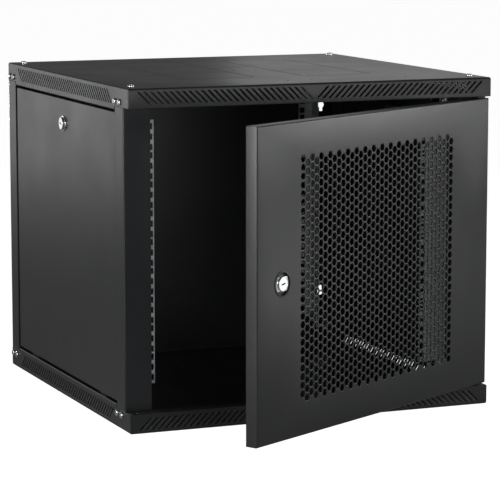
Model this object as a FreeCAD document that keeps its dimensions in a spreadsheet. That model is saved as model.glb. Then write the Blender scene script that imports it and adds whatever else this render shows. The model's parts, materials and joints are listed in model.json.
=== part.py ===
"""Wall mount network cabinet for 19-inch equipment: covers, posts, rails, lift-off sides and a pierced door.

Millimetres. The origin is the centre of the underside, +Z is up, and the door opens towards -Y.
The driving sizes are the cells of the sheet; every sub-part is an object of the document tied to them.
"""
import FreeCAD, Part
import math
import os
import re
import Sketcher

Vector = FreeCAD.Vector
TINY = 1e-6

SIZES = {
    # whole cabinet
    "cabinet_width": 600,
    "cabinet_depth": 600,
    "rack_units": 9,
    "unit_pitch": 44.45,
    "end_room": 59.475,
    # top and bottom covers
    "cover_sheet": 1.5,
    "cover_rise": 30,
    "cover_bend": 3,
    "front_lip": 22,
    "skirt_drop": 5.5,
    "skirt_lip": 12,
    "slot_count": 10,
    "slot_pitch": 28.6,
    "slot_width": 7.5,
    "slot_slant": 18,
    "slot_height": 18,
    "slot_margin": 6,
    "slot_edge": 14.2,
    "vent_count": 8,
    "vent_pitch": 61,
    "vent_width": 30,
    "vent_height": 20.5,
    "vent_margin": 7,
    "vent_start": 18,
    "knockout_width": 120,
    "knockout_length": 361,
    "knockout_offset": 100,
    "upper_knockout_front": 137,
    "lower_knockout_front": 112,
    "knockout_cut": 1,
    "knockout_bridge": 6,
    "entry_width": 134,
    "entry_front": 542,
    "entry_length": 31,
    # corner posts
    "post_sheet": 1.5,
    "post_face": 43,
    "post_return": 15,
    "post_setback": 24,
    "post_bend": 2,
    "front_post_depth": 36,
    "rear_post_depth": 38,
    "tab_lap": 19,
    "tab_margin": 3,
    "tab_overhang": 6,
    "foot_reach": 34,
    "keyhole_inset": 22.5,
    "keyhole_height": 91,
    "keyhole_radius": 6,
    "keyhole_slot": 6.5,
    "keyhole_length": 5.3,
    # depth bars
    "bar_sheet": 2,
    "bar_inset": 17.5,
    "bar_width": 9.5,
    "bar_height": 25,
    "bar_clearance": 2,
    "bar_slot_height": 8,
    "bar_slot_length": 60,
    # equipment rails
    "rail_sheet": 2,
    "rail_face": 47,
    "rail_web": 25,
    "rail_setback": 94,
    "rail_margin": 3.475,
    "rail_tab": 22,
    "rail_tab_width": 22,
    "rack_hole": 9.5,
    "rack_hole_spread": 465,
    "rack_hole_first": 6.35,
    "rack_hole_step": 15.875,
    "rear_rail_setback": 20,
    "rear_rail_face": 27,
    "bracket_margin": 2,
    "bracket_width": 20,
    # back panel
    "back_sheet": 1.2,
    "back_lap": 8,
    "back_cover_lap": 15,
    "back_screw_inset": 50,
    # side panels
    "panel_sheet": 1.2,
    "panel_return": 15,
    "panel_bend": 2,
    "panel_recess": 1.5,
    "panel_gap": 3,
    "panel_clearance": 3.5,
    "panel_foot_length": 30,
    "panel_foot_inset": 60,
    "panel_foot_width": 8,
    "panel_foot_offset": 4,
    "panel_lock_drop": 39,
    # door
    "door_sheet": 1.5,
    "door_return": 20,
    "door_bend": 2,
    "door_gap": 3,
    "door_angle": 29.8,
    "hinge_inset": 9,
    "grille_hole": 38,
    "grille_columns": 5,
    "grille_rows": 7,
    "grille_column_step": 39,
    "grille_row_step": 47,
    "stiffener_width": 20,
    "stiffener_rise": 10,
    "stiffener_sheet": 1.5,
    "hinge_stiffener_inset": 60,
    "lock_stiffener_inset": 92,
    # hinge pins and bushes
    "pin_radius": 3,
    "pin_inside": 8,
    "pin_outside": 6.5,
    "bush_wall": 2,
    "bush_flange": 3.5,
    # cam locks
    "neck_size": 16,
    "plug_radius": 6,
    "door_lock_inset": 58.5,
    "door_collar_radius": 15.5,
    "door_collar_flat": 10,
    "door_collar_rise": 2.5,
    "door_disc_radius": 10.5,
    "door_disc_rise": 2,
    "cup_radius": 19,
    "cup_well": 16.2,
    "cup_depth": 3,
    "cup_sheet": 0.8,
    "panel_collar_radius": 12.4,
    "panel_collar_rise": 1.4,
    "panel_disc_radius": 10,
    "panel_disc_rise": 3.1,
    "cam_sheet": 2,
    "door_cam_width": 14,
    "door_cam_reach": 30,
    "panel_cam_width": 20,
    "panel_cam_reach": 38,
    "clip_sheet": 1,
    "clip_margin": 5,
    # screws
    "screw_radius": 2,
    "screw_hole": 4.5,
    "head_radius": 5,
    "head_rise": 3.2,
    "screw_length": 7,
    "screw_spacing": 20,
    "face_screw_inset": 18,
    "side_screw_rise": 22.5,
    "front_screw_setback": 38.5,
    "rear_screw_setback": 9,
    # fits
    "running_gap": 0.05,
    "hole_gap": 0.3,
    "moving_gap": 0.3,
    "cut_over": 2,
}

PLACES = {
    "half_width": "cabinet_width / 2",
    "half_depth": "cabinet_depth / 2",
    "height": "rack_units * unit_pitch + 2 * end_room",
    "post_height": "height - 2 * cover_rise",
    "post_front": "post_setback - half_depth",
    "post_back": "post_front + front_post_depth",
    "rear_post_front": "half_depth - rear_post_depth",
    "skirt_front": "post_back + panel_gap",
    "skirt_back": "rear_post_front - panel_gap",
    "skirt_depth": "cover_rise + skirt_drop",
    "bar_outer": "bar_inset - half_width",
    "bar_inner": "bar_outer + bar_width",
    "bar_base": "cover_rise + bar_clearance",
    "bar_front": "post_front + post_sheet",
    "bar_back": "half_depth - post_sheet",
    "rail_front": "rail_setback - half_depth",
    "rail_base": "end_room - rail_margin",
    "rail_height": "rack_units * unit_pitch + 2 * rail_margin",
    "rail_inner": "bar_inner + rail_face",
    "rear_rail_back": "half_depth - rear_rail_setback",
    "rear_rail_outer": "rail_inner - rear_rail_face",
    "rail_screw_rise": "bar_base + bar_height / 2",
    "back_side": "half_width - post_face + back_lap",
    "back_face": "half_depth - post_sheet - back_sheet",
    "panel_length": "skirt_back - skirt_front",
    "panel_base": "skirt_depth + panel_clearance",
    "panel_height": "height - 2 * panel_base",
    "panel_middle": "(skirt_back + skirt_front) / 2",
    "panel_face": "half_width - panel_recess",
    "panel_lock_height": "panel_base + panel_height - panel_lock_drop",
    "panel_neck": "bar_inset + bar_width - panel_recess",
    "door_width": "cabinet_width - 2 * door_gap",
    "door_base": "cover_rise + door_gap",
    "door_height": "height - 2 * door_base",
    "hinge_x": "half_width - door_gap - hinge_inset",
    "hinge_y": "hinge_inset - half_depth",
    "door_centre": "hinge_inset - door_width / 2",
    "door_inside": "door_sheet - hinge_inset",
    "door_lock_x": "hinge_inset - door_width + door_lock_inset",
    "door_neck": "post_setback + post_sheet + moving_gap",
}

doc = FreeCAD.newDocument("WallCabinet")
sheet = doc.addObject("Spreadsheet::Sheet", "Sizes")
for row, (name, number) in enumerate(SIZES.items(), 1):
    sheet.set(f"A{row}", name)
    sheet.set(f"B{row}", str(number))
    sheet.setAlias(f"B{row}", name)
doc.recompute()

NODES = []


def tied(text):
    """The expression with its sizes tied to their cells and its places written out."""
    def swap(match):
        word = match.group(0)
        if word in PLACES:
            return "(" + tied(PLACES[word]) + ")"
        if word in SIZES:
            return "Sizes." + word
        return word
    return re.sub(r"[a-z_]+", swap, text)


def value(text):
    """The number that an expression stands for now."""
    return float(sheet.evalExpression(tied(text)))


def at(x="0", y="0", z="0", spin="0", tilt="0"):
    """A place: tilted about X, turned about Z, then moved."""
    turned_about_z = f"placement(vector({x}; {y}; {z}); rotation(vector(0; 0; 1); {spin}))"
    tilted_about_x = f"placement(vector(0; 0; 0); rotation(vector(1; 0; 0); {tilt}))"
    return turned_about_z + " * " + tilted_about_x


def new_body(label, place=None):
    """A named sub-part; its solids may stand apart when it is a set of like fasteners."""
    body = doc.addObject("PartDesign::Body", label)
    body.Label = label
    body.AllowCompound = True
    if place:
        body.setExpression("Placement", tied(place))
    NODES.append(body)
    return body


def mirrored(source, label):
    """The other hand of a sub-part, across the cabinet's middle plane."""
    twin = doc.addObject("Part::Mirroring", label)
    twin.Label = label
    twin.Source = source
    twin.Normal = Vector(1, 0, 0)
    NODES.append(twin)
    return twin


def origin_plane(body, role):
    return next(item for item in body.Origin.OriginFeatures if item.Role == role)


def new_sketch(body, name, plane, offset):
    """A sketch on one of the body's own planes, moved along the plane's normal."""
    sketch = body.newObject("Sketcher::SketchObject", name)
    sketch.AttachmentSupport = [(origin_plane(body, plane + "_Plane"), "")]
    sketch.MapMode = "FlatFace"
    sketch.setExpression("AttachmentOffset.Base.z", tied(offset))
    return sketch


def tie(sketch, kind, geometry, point, text):
    """One dimension of a sketch point from the sketch's origin, tied to the sheet."""
    index = sketch.addConstraint(Sketcher.Constraint(kind, -1, 1, geometry, point, value(text)))
    sketch.setExpression(f"Constraints[{index}]", tied(text))


def draw_loop(sketch, points):
    """A closed outline of straight lines through the points."""
    start = sketch.GeometryCount
    corners = [Vector(value(x), value(y), 0) for x, y in points]
    lines = [Part.LineSegment(a, b) for a, b in zip(corners, corners[1:] + corners[:1])]
    sketch.addGeometry(lines, False)
    for i in range(len(points)):
        after = start + (i + 1) % len(points)
        sketch.addConstraint(Sketcher.Constraint("Coincident", start + i, 2, after, 1))
    for i, (x, y) in enumerate(points):
        tie(sketch, "DistanceX", start + i, 1, x)
        tie(sketch, "DistanceY", start + i, 1, y)


def draw_circle(sketch, centre, radius):
    index = sketch.GeometryCount
    middle = Vector(value(centre[0]), value(centre[1]), 0)
    sketch.addGeometry(Part.Circle(middle, Vector(0, 0, 1), value(radius)), False)
    tie(sketch, "DistanceX", index, 3, centre[0])
    tie(sketch, "DistanceY", index, 3, centre[1])
    size = sketch.addConstraint(Sketcher.Constraint("Radius", index, value(radius)))
    sketch.setExpression(f"Constraints[{size}]", tied(radius))


def block(x_low, x_high, y_low, y_high):
    """The four corners of an upright rectangle."""
    return [(x_low, y_low), (x_high, y_low), (x_high, y_high), (x_low, y_high)]


def square(x, y, size):
    half = f"({size}) / 2"
    return block(f"{x} - {half}", f"{x} + {half}", f"{y} - {half}", f"{y} + {half}")


def many_sided(x, y, radius, sides):
    """A round outline of few straight sides, for what repeats and only has to seat."""
    turns = [2 * math.pi * i / sides for i in range(sides)]
    return [(f"{x} + ({radius}) * {math.cos(turn):.6f}", f"{y} + ({radius}) * {math.sin(turn):.6f}")
            for turn in turns]


def folded(path, thick):
    """The section of folded sheet: a skin of right-angled runs, with the metal on its left."""
    spots = [(value(x), value(y)) for x, y in path]
    normals = []
    for (x_a, y_a), (x_b, y_b) in zip(spots, spots[1:]):
        length = abs(x_b - x_a) + abs(y_b - y_a)
        normals.append((round((y_a - y_b) / length), round((x_b - x_a) / length)))
    inner = []
    for i, (x, y) in enumerate(path):
        meeting = normals[max(i - 1, 0):i + 1]
        step_x = sum(normal[0] for normal in set(meeting))
        step_y = sum(normal[1] for normal in set(meeting))
        inner.append((f"{x} + {step_x} * {thick}", f"{y} + {step_y} * {thick}"))
    return path + inner[::-1]


def prism(body, name, plane, start, stop, loops=(), circles=(), cut=False):
    """A pad or a pocket from start to stop along the axis that the plane faces."""
    offset = f"-({stop})" if plane == "XZ" else start
    sketch = new_sketch(body, name + "_outline", plane, offset)
    for points in loops:
        draw_loop(sketch, points)
    for centre, radius in circles:
        draw_circle(sketch, centre, radius)
    before = body.Shape.Volume if cut else 0
    feature = body.newObject("PartDesign::Pocket" if cut else "PartDesign::Pad", name)
    feature.Profile = sketch
    feature.setExpression("Length", tied(f"({stop}) - ({start})"))
    feature.Reversed = cut
    doc.recompute()
    if cut and body.Shape.Volume > before - TINY:
        raise RuntimeError(f"{body.Label}: {name} cuts nothing")
    return feature


def repeat(body, feature, name, rows=(), mirror=None):
    """Copies of a feature in rows along its sketch's axes, then across one of the body's planes."""
    many = body.newObject("PartDesign::MultiTransform", name)
    many.Originals = [feature]
    steps = []
    for number, (axis, length, count) in enumerate(rows):
        row = body.newObject("PartDesign::LinearPattern", f"{name}_row_{number}")
        row.Direction = (feature.Profile[0], [axis])
        row.setExpression("Length", tied(length))
        row.setExpression("Occurrences", tied(count))
        steps.append(row)
    if mirror:
        other = body.newObject("PartDesign::Mirrored", f"{name}_mirror")
        other.MirrorPlane = (origin_plane(body, mirror + "_Plane"), [""])
        steps.append(other)
    many.Transformations = steps
    body.Tip = many
    doc.recompute()
    return many


def round_edges(body, name, radius, wanted):
    """A fillet on every edge of the body that the test picks."""
    base = body.Tip
    names = [f"Edge{i}" for i, edge in enumerate(base.Shape.Edges, 1) if wanted(edge.BoundBox)]
    fillet = body.newObject("PartDesign::Fillet", name)
    fillet.Base = (base, names)
    fillet.setExpression("Radius", tied(radius))
    doc.recompute()
    return fillet


def tray(body, wide, long, rise, thick, bend):
    """A pressed tray: outer face at z = 0, walls down to -rise, their bends rounded, open below."""
    outline = block(f"-{wide} / 2", f"{wide} / 2", f"-{long} / 2", f"{long} / 2")
    prism(body, "blank", "XY", f"-{rise}", "0", [outline])
    round_edges(body, "bends", bend, lambda box: box.ZMin > -TINY)
    rounded = body.Tip
    floor = next(i for i, face in enumerate(rounded.Shape.Faces, 1)
                 if face.BoundBox.ZMax < -value(rise) + TINY)
    shell = body.newObject("PartDesign::Thickness", "shell")
    shell.Base = (rounded, [f"Face{floor}"])
    shell.Reversed = True
    shell.setExpression("Value", tied(thick))
    doc.recompute()


# ---- covers ----

def make_cover(label, place, knockout_front, cable_entry):
    """A cover with its flanges down: slanted front slots, vented skirts and knock-outs."""
    body = new_body(label, place)
    tray(body, "cabinet_width", "cabinet_depth", "cover_rise", "cover_sheet", "cover_bend")
    skirt = folded([("-half_width", "-cover_rise"), ("-half_width", "-skirt_depth"),
                    ("skirt_lip - half_width", "-skirt_depth")], "cover_sheet")
    skirts = prism(body, "skirt", "XZ", "skirt_front", "skirt_back", [skirt])
    repeat(body, skirts, "skirts", mirror="YZ")
    lip = block("cover_sheet - half_depth", "front_lip - half_depth",
                "-cover_rise", "cover_sheet - cover_rise")
    prism(body, "front_lip_fold", "YZ", "cover_bend - half_width", "half_width - cover_bend", [lip])

    slot_left = "slot_edge - half_width"
    slot_low = "-slot_margin - slot_height"
    slot = [(slot_left, "-slot_margin"), (f"{slot_left} + slot_width", "-slot_margin"),
            (f"{slot_left} + slot_width + slot_slant", slot_low), (f"{slot_left} + slot_slant", slot_low)]
    slots = prism(body, "front_slot", "XZ", "-half_depth - cut_over", "cover_sheet + cut_over - half_depth",
                  [slot], cut=True)
    repeat(body, slots, "front_slots", [("H_Axis", "(slot_count - 1) * slot_pitch", "slot_count")], "YZ")
    vent = block("skirt_front + vent_start", "skirt_front + vent_start + vent_width",
                 "-vent_margin - vent_height", "-vent_margin")
    vents = prism(body, "side_vent", "YZ", "-half_width - cut_over", "cover_sheet + cut_over - half_width",
                  [vent], cut=True)
    repeat(body, vents, "side_vents", [("H_Axis", "(vent_count - 1) * vent_pitch", "vent_count")], "YZ")

    left = "-knockout_offset - knockout_width / 2"
    right = "knockout_width / 2 - knockout_offset"
    front = f"{knockout_front} - half_depth"
    back = f"{front} + knockout_length"
    lines = [
        block(left, f"{left} + knockout_cut", f"{front} + knockout_bridge", f"{back} - knockout_bridge"),
        block(f"{right} - knockout_cut", right, f"{front} + knockout_bridge", f"{back} - knockout_bridge"),
        block(f"{left} + knockout_bridge", f"{right} - knockout_bridge", front, f"{front} + knockout_cut"),
        block(f"{left} + knockout_bridge", f"{right} - knockout_bridge", f"{back} - knockout_cut", back),
    ]
    if cable_entry:
        edge = "-entry_width / 2"
        entry = "entry_front - half_depth"
        lines.append(block(edge, f"{edge} + knockout_cut", entry, f"{entry} + entry_length"))
    knockout = prism(body, "knockout", "XY", "-cover_sheet - cut_over", "cut_over", lines, cut=True)
    repeat(body, knockout, "knockouts", mirror="YZ")

    hinge = [((f"{side} * hinge_x", "hinge_y"), "pin_radius + running_gap + bush_wall") for side in (-1, 1)]
    prism(body, "hinge_holes", "XY", "-cover_rise - cut_over", "cover_sheet + cut_over - cover_rise",
          circles=hinge, cut=True)
    side = prism(body, "side_screw_holes", "YZ",
                 "-half_width - cut_over", "cover_sheet + cut_over - half_width",
                 [square(y, "-side_screw_rise", "screw_hole") for y in SIDE_SCREWS], cut=True)
    repeat(body, side, "side_screws", mirror="YZ")
    return body


FACE_SCREWS = ["front_screw_setback - half_depth", "half_depth - screw_spacing - rear_screw_setback"]
SIDE_SCREWS = ["front_screw_setback - half_depth", "front_screw_setback + screw_spacing - half_depth",
               "half_depth - screw_spacing - rear_screw_setback", "half_depth - rear_screw_setback"]


def make_covers():
    top = make_cover("top_cover", at(z="height"), "upper_knockout_front", False)
    face = prism(top, "face_screw_holes", "XY", "-cover_sheet - cut_over", "cut_over",
                 [square("face_screw_inset - half_width", y, "screw_hole") for y in FACE_SCREWS], cut=True)
    repeat(top, face, "face_screws", mirror="YZ")
    over = "placement(vector(0; 0; 0); rotation(vector(0; 1; 0); 180))"
    make_cover("bottom_cover", over, "lower_knockout_front", True)


# ---- corner posts ----

def make_post(name, path, tab_front, tab_back, lap_front, lap_back, screws, keyholes):
    """A folded post with a joggled tab and foot at each end, which lie inside the covers."""
    body = new_body(f"{name[0]}_left_post", at(z="cover_rise"))
    prism(body, "section", "XY", "0", "post_height", [folded(path, "post_sheet")])
    outer = -value("half_width")
    round_edges(body, "outer_bend", "post_bend",
                lambda box: box.XMax < outer + TINY and box.ZLength > value("post_height") - TINY
                and abs(abs(box.YMax) - abs(value(name[1]))) < TINY)
    skin = "cover_sheet - half_width"
    inside = f"{skin} + post_sheet"
    reach = "cover_rise - cover_sheet"
    ends = []
    for sign, base in (("+", "post_height"), ("-", "0")):
        def rise(text, sign=sign, base=base):
            return f"{base} {sign} ({text})"
        ends.append([(skin, rise("0")), (skin, rise(f"{reach} - post_bend")),
                     (f"{skin} + post_bend", rise(reach)), (f"{skin} + foot_reach", rise(reach)),
                     (f"{skin} + foot_reach", rise(f"{reach} - post_sheet")),
                     (inside, rise(f"{reach} - post_sheet")), (inside, rise("0"))])
    prism(body, "end_tabs", "XZ", tab_front, tab_back, ends)
    laps = [block(skin, inside, "post_height - tab_lap", "post_height"), block(skin, inside, "0", "tab_lap")]
    prism(body, "tab_laps", "XZ", lap_front, lap_back, laps)
    holes = [square(y, z, "screw_hole") for y in screws
             for z in ("post_height + cover_rise - side_screw_rise", "side_screw_rise - cover_rise")]
    prism(body, "side_screw_holes", "YZ", f"{skin} - cut_over", f"{inside} + cut_over", holes, cut=True)
    face = square("face_screw_inset - half_width", screws[0], "screw_hole")
    prism(body, "face_screw_hole", "XY", "post_height", "height", [face], cut=True)
    if keyholes:
        spots = []
        slots = []
        for base, sign in (("keyhole_height - cover_rise", "+"),
                           ("height - keyhole_height - cover_rise", "-")):
            spots.append((("keyhole_inset - half_width", base), "keyhole_radius"))
            slots.append(block("keyhole_inset - half_width - keyhole_slot / 2",
                               "keyhole_inset - half_width + keyhole_slot / 2",
                               base, f"{base} {sign} (keyhole_radius + keyhole_length)"))
        wall = ("half_depth - post_sheet - cut_over", "half_depth + cut_over")
        prism(body, "keyholes", "XZ", *wall, circles=spots, cut=True)
        prism(body, "keyhole_slots", "XZ", *wall, slots, cut=True)
        holes = [square(f"-({BACK_SCREW_X})", f"{z} - cover_rise", "screw_hole") for z in BACK_SCREWS]
        prism(body, "back_panel_holes", "XZ", *wall, holes, cut=True)
    mirrored(body, f"{name[0]}_right_post")


def make_posts():
    front = [("post_return - half_width", "post_back"), ("-half_width", "post_back"),
             ("-half_width", "post_front"), ("post_face - half_width", "post_front")]
    make_post(("front", "post_front"), front, "bar_front + tab_margin", "post_back + tab_overhang",
              "bar_front + tab_margin", "post_back - post_sheet", SIDE_SCREWS[:2], False)
    rear = [("post_face - half_width", "half_depth"), ("-half_width", "half_depth"),
            ("-half_width", "rear_post_front"), ("post_return - half_width", "rear_post_front")]
    make_post(("rear", "half_depth"), rear, "rear_post_front + post_sheet", "back_face",
              "rear_post_front + post_sheet", "bar_back", SIDE_SCREWS[2:], True)


# ---- depth bars, rails and back panel ----

def make_depth_bars():
    """Channels between front and rear posts, open outwards, slotted for the rails."""
    for level, base in (("lower", "bar_base"), ("upper", "height - bar_base - bar_height")):
        body = new_body(f"{level}_left_depth_bar", at(z=base))
        channel = [
            ("bar_outer", "0"), ("bar_inner", "0"), ("bar_inner", "bar_height"), ("bar_outer", "bar_height"),
            ("bar_outer", "bar_height - bar_sheet"), ("bar_inner - bar_sheet", "bar_height - bar_sheet"),
            ("bar_inner - bar_sheet", "bar_sheet"), ("bar_outer", "bar_sheet")]
        prism(body, "channel", "XZ", "bar_front", "bar_back", [channel])
        low = "(bar_height - bar_slot_height) / 2"
        slots = [block(start, f"{start} + bar_slot_length", low, f"{low} + bar_slot_height")
                 for start in ("rail_front", "rear_rail_back - bar_slot_length")]
        prism(body, "rail_slots", "YZ", "bar_inner - bar_sheet - cut_over", "bar_inner + cut_over",
              slots, cut=True)
        mirrored(body, f"{level}_right_depth_bar")


def make_rail(name, path, web_outer, tab_front):
    """An angle rail with three square holes to each rack unit and a fixing tab at each end."""
    body = new_body(f"{name}_left_rail", at(z="rail_base"))
    prism(body, "angle", "XY", "0", "rail_height", [folded(path, "rail_sheet")])
    tabs = block(tab_front, f"{tab_front} + rail_tab_width", "-rail_tab", "rail_height + rail_tab")
    prism(body, "tabs", "YZ", web_outer, f"{web_outer} + rail_sheet", [tabs])
    first = [square("-rack_hole_spread / 2", f"rail_margin + rack_hole_first + {i} * rack_hole_step",
                    "rack_hole")
             for i in range(3)]
    face = path[1][1]
    unit = prism(body, "unit_holes", "XZ",
                 f"{face} - rail_sheet - cut_over", f"{face} + rail_sheet + cut_over",
                 first, cut=True)
    repeat(body, unit, "rack_holes", [("V_Axis", "(rack_units - 1) * unit_pitch", "rack_units")])
    middle = f"{tab_front} + rail_tab_width / 2"
    holes = [square(middle, z, "screw_hole")
             for z in ("rail_screw_rise - rail_base", "height - rail_screw_rise - rail_base")]
    prism(body, "tab_holes", "YZ", f"{web_outer} - cut_over", f"{web_outer} + rail_sheet + cut_over",
          holes, cut=True)
    mirrored(body, f"{name}_right_rail")


FRONT_TAB = "rail_front + rail_sheet"
REAR_TAB = "rear_rail_back - rail_sheet - rail_tab_width"


def make_rails():
    front = [("bar_inner", "rail_front + rail_web"), ("bar_inner", "rail_front"),
             ("rail_inner", "rail_front")]
    make_rail("front", front, "bar_inner", FRONT_TAB)
    rear = [("rail_inner", "rear_rail_back"), ("rear_rail_outer", "rear_rail_back"),
            ("rear_rail_outer", "rear_rail_back - rail_web")]
    make_rail("rear", rear, "rear_rail_outer", REAR_TAB)

    brackets = new_body("rear_rail_brackets")
    start = f"{REAR_TAB} + (rail_tab_width - bracket_width) / 2"
    sections = []
    for base in ("bar_base + bracket_margin", "height - bar_base - bar_height + bracket_margin"):
        top = f"{base} + bar_height - 2 * bracket_margin"
        sections.append(folded([("bar_inner", top), ("bar_inner", base), ("rear_rail_outer", base),
                                ("rear_rail_outer", top)], "rail_sheet"))
    channels = prism(brackets, "channels", "XZ", start, f"{start} + bracket_width", sections)
    repeat(brackets, channels, "both_sides", mirror="YZ")
    middle = f"{REAR_TAB} + rail_tab_width / 2"
    holes = [square(middle, z, "screw_hole") for z in ("rail_screw_rise", "height - rail_screw_rise")]
    cut = prism(brackets, "screw_holes", "YZ", "rear_rail_outer - rail_sheet - hole_gap",
                "rear_rail_outer + cut_over", holes, cut=True)
    repeat(brackets, cut, "holes_both_sides", mirror="YZ")


BACK_SCREWS = ["back_screw_inset", "height / 2", "height - back_screw_inset"]
BACK_SCREW_X = "back_lap / 2 + half_width - post_face"


def make_back_panel():
    body = new_body("back_panel")
    plate = block("-back_side", "back_side",
                  "cover_rise - back_cover_lap", "height - cover_rise + back_cover_lap")
    prism(body, "plate", "XZ", "back_face", "back_face + back_sheet", [plate])
    holes = prism(body, "screw_holes", "XZ", "back_face - cut_over", "back_face + back_sheet + cut_over",
                  [square(BACK_SCREW_X, z, "screw_hole") for z in BACK_SCREWS], cut=True)
    repeat(body, holes, "holes_both_sides", mirror="YZ")


# ---- screws ----

HEAD_SIDES = 8
SHANK_SIDES = 4


def screw_set(label, groups, length="screw_length"):
    """Pan-head screws in one node: each group has a plane, a head side, a seat and its spots."""
    body = new_body(label)
    for number, (plane, outward, seat, spots) in enumerate(groups):
        tip = f"{seat} - {outward} * ({length})"
        crown = f"{seat} + {outward} * head_rise"
        shank = (tip, seat) if outward > 0 else (seat, tip)
        head = (seat, crown) if outward > 0 else (crown, seat)
        for part, (low, high), radius, sides in (("head", head, "head_radius", HEAD_SIDES),
                                                 ("shank", shank, "screw_radius", SHANK_SIDES)):
            pads = prism(body, f"{part}_{number}", plane, low, high,
                         [many_sided(x, y, radius, sides) for x, y in spots])
            repeat(body, pads, f"{part}s_{number}", mirror="YZ")


def make_screws():
    upper = "height - side_screw_rise"
    face_spots = [("face_screw_inset - half_width", y) for y in FACE_SCREWS]
    screw_set("upper_cover_screws", [("XY", 1, "height", face_spots),
                                     ("YZ", -1, "-half_width", [(y, upper) for y in SIDE_SCREWS])])
    lower = [(y, "side_screw_rise") for y in SIDE_SCREWS]
    screw_set("lower_cover_screws", [("YZ", -1, "-half_width", lower)])
    levels = ("rail_screw_rise", "height - rail_screw_rise")
    front = [(f"{FRONT_TAB} + rail_tab_width / 2", z) for z in levels]
    rear = [(f"{REAR_TAB} + rail_tab_width / 2", z) for z in levels]
    screw_set("rail_screws", [("YZ", 1, "bar_inner + rail_sheet", front),
                              ("YZ", 1, "rear_rail_outer + rail_sheet", rear)])
    screw_set("back_panel_screws", [("XZ", -1, "back_face", [(BACK_SCREW_X, z) for z in BACK_SCREWS])],
              "back_sheet + post_sheet")


# ---- side panels ----

def make_side_panel(side, sign):
    """A lift-off tray that stands on two feet and is held at its top by a quarter-turn lock."""
    spin = f"{sign * 90}"
    place = at(f"{sign} * panel_face", "panel_middle", "height / 2", spin, "90")
    body = new_body(f"{side}_side_panel", place)
    tray(body, "panel_length", "panel_height", "panel_return", "panel_sheet", "panel_bend")
    prism(body, "lock_hole", "XY", "-panel_sheet - cut_over", "cut_over",
          [square("0", "panel_lock_height - height / 2", "neck_size + hole_gap")], cut=True)
    foot = block("panel_length / 2 - panel_foot_inset - panel_foot_length",
                 "panel_length / 2 - panel_foot_inset",
                 "-panel_height / 2 - panel_clearance + moving_gap", "-panel_height / 2")
    feet = prism(body, "foot", "XY", "-panel_foot_offset - panel_foot_width", "-panel_foot_offset", [foot])
    repeat(body, feet, "feet", mirror="YZ")

    lock = at(f"{sign} * panel_face", "panel_middle", "panel_lock_height", spin, "90")
    make_lock(f"{side}_panel_lock", lock, {
        "sheet": "panel_sheet", "neck": "panel_neck", "collar": "panel_collar_radius",
        "collar_base": "0", "collar_rise": "panel_collar_rise", "flat": None,
        "disc": "panel_disc_radius", "disc_rise": "panel_disc_rise",
        "cam_width": "panel_cam_width", "cam_reach": "panel_cam_reach", "cam_side": -sign})


LOCK_SIDES = 16


def make_lock(prefix, place, lock):
    """A cam lock: barrel and clip fixed in the sheet, plug and cam turning in the barrel.

    Its own z runs outwards from the outer face of the sheet.
    """
    neck_end = f"-({lock['neck']})"
    top = f"{lock['collar_base']} + {lock['collar_rise']}"
    barrel = new_body(f"{prefix}_barrel", place)
    prism(barrel, "collar", "XY", lock["collar_base"], top,
          [many_sided("0", "0", lock["collar"], LOCK_SIDES)])
    if lock["flat"]:
        reach = f"{lock['collar']} + cut_over"
        outside = [block(f"-({reach})", reach, lock["flat"], reach),
                   block(f"-({reach})", reach, f"-({reach})", f"-{lock['flat']}")]
        prism(barrel, "flats", "XY", lock["collar_base"], top, outside, cut=True)
    prism(barrel, "neck", "XY", neck_end, lock["collar_base"], [square("0", "0", "neck_size")])
    prism(barrel, "bore", "XY", neck_end, top, circles=[(("0", "0"), "plug_radius + running_gap")], cut=True)

    clip = new_body(f"{prefix}_clip", place)
    half = "neck_size / 2"
    out = "neck_size / 2 + clip_margin"
    fork = [(f"-({out})", f"-({out})"), (out, f"-({out})"), (out, half), (half, half), (half, f"-{half}"),
            (f"-{half}", f"-{half}"), (f"-{half}", half), (f"-({out})", half)]
    prism(clip, "fork", "XY", f"-{lock['sheet']} - clip_sheet", f"-{lock['sheet']}", [fork])

    plug = new_body(f"{prefix}_plug", place)
    cam_top = f"{neck_end} - moving_gap"
    disc_base = f"{top} + moving_gap"
    prism(plug, "shaft", "XY", cam_top, disc_base, circles=[(("0", "0"), "plug_radius")])
    prism(plug, "disc", "XY", disc_base, f"{disc_base} + {lock['disc_rise']}",
          [many_sided("0", "0", lock["disc"], LOCK_SIDES)])

    cam = new_body(f"{prefix}_cam", place)
    half_cam = f"{lock['cam_width']} / 2"
    along = block(f"-{half_cam}", lock["cam_reach"], f"-{half_cam}", half_cam)
    upright = block(f"-{half_cam}", half_cam, f"-{half_cam}", lock["cam_reach"])
    backward = block(f"-{lock['cam_reach']}", half_cam, f"-{half_cam}", half_cam)
    outline = {1: along, 0: upright, -1: backward}[lock["cam_side"]]
    prism(cam, "plate", "XY", f"{cam_top} - cam_sheet", cam_top, [outline])


# ---- door ----

DOOR = at("hinge_x", "hinge_y", "0", "door_angle")


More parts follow.
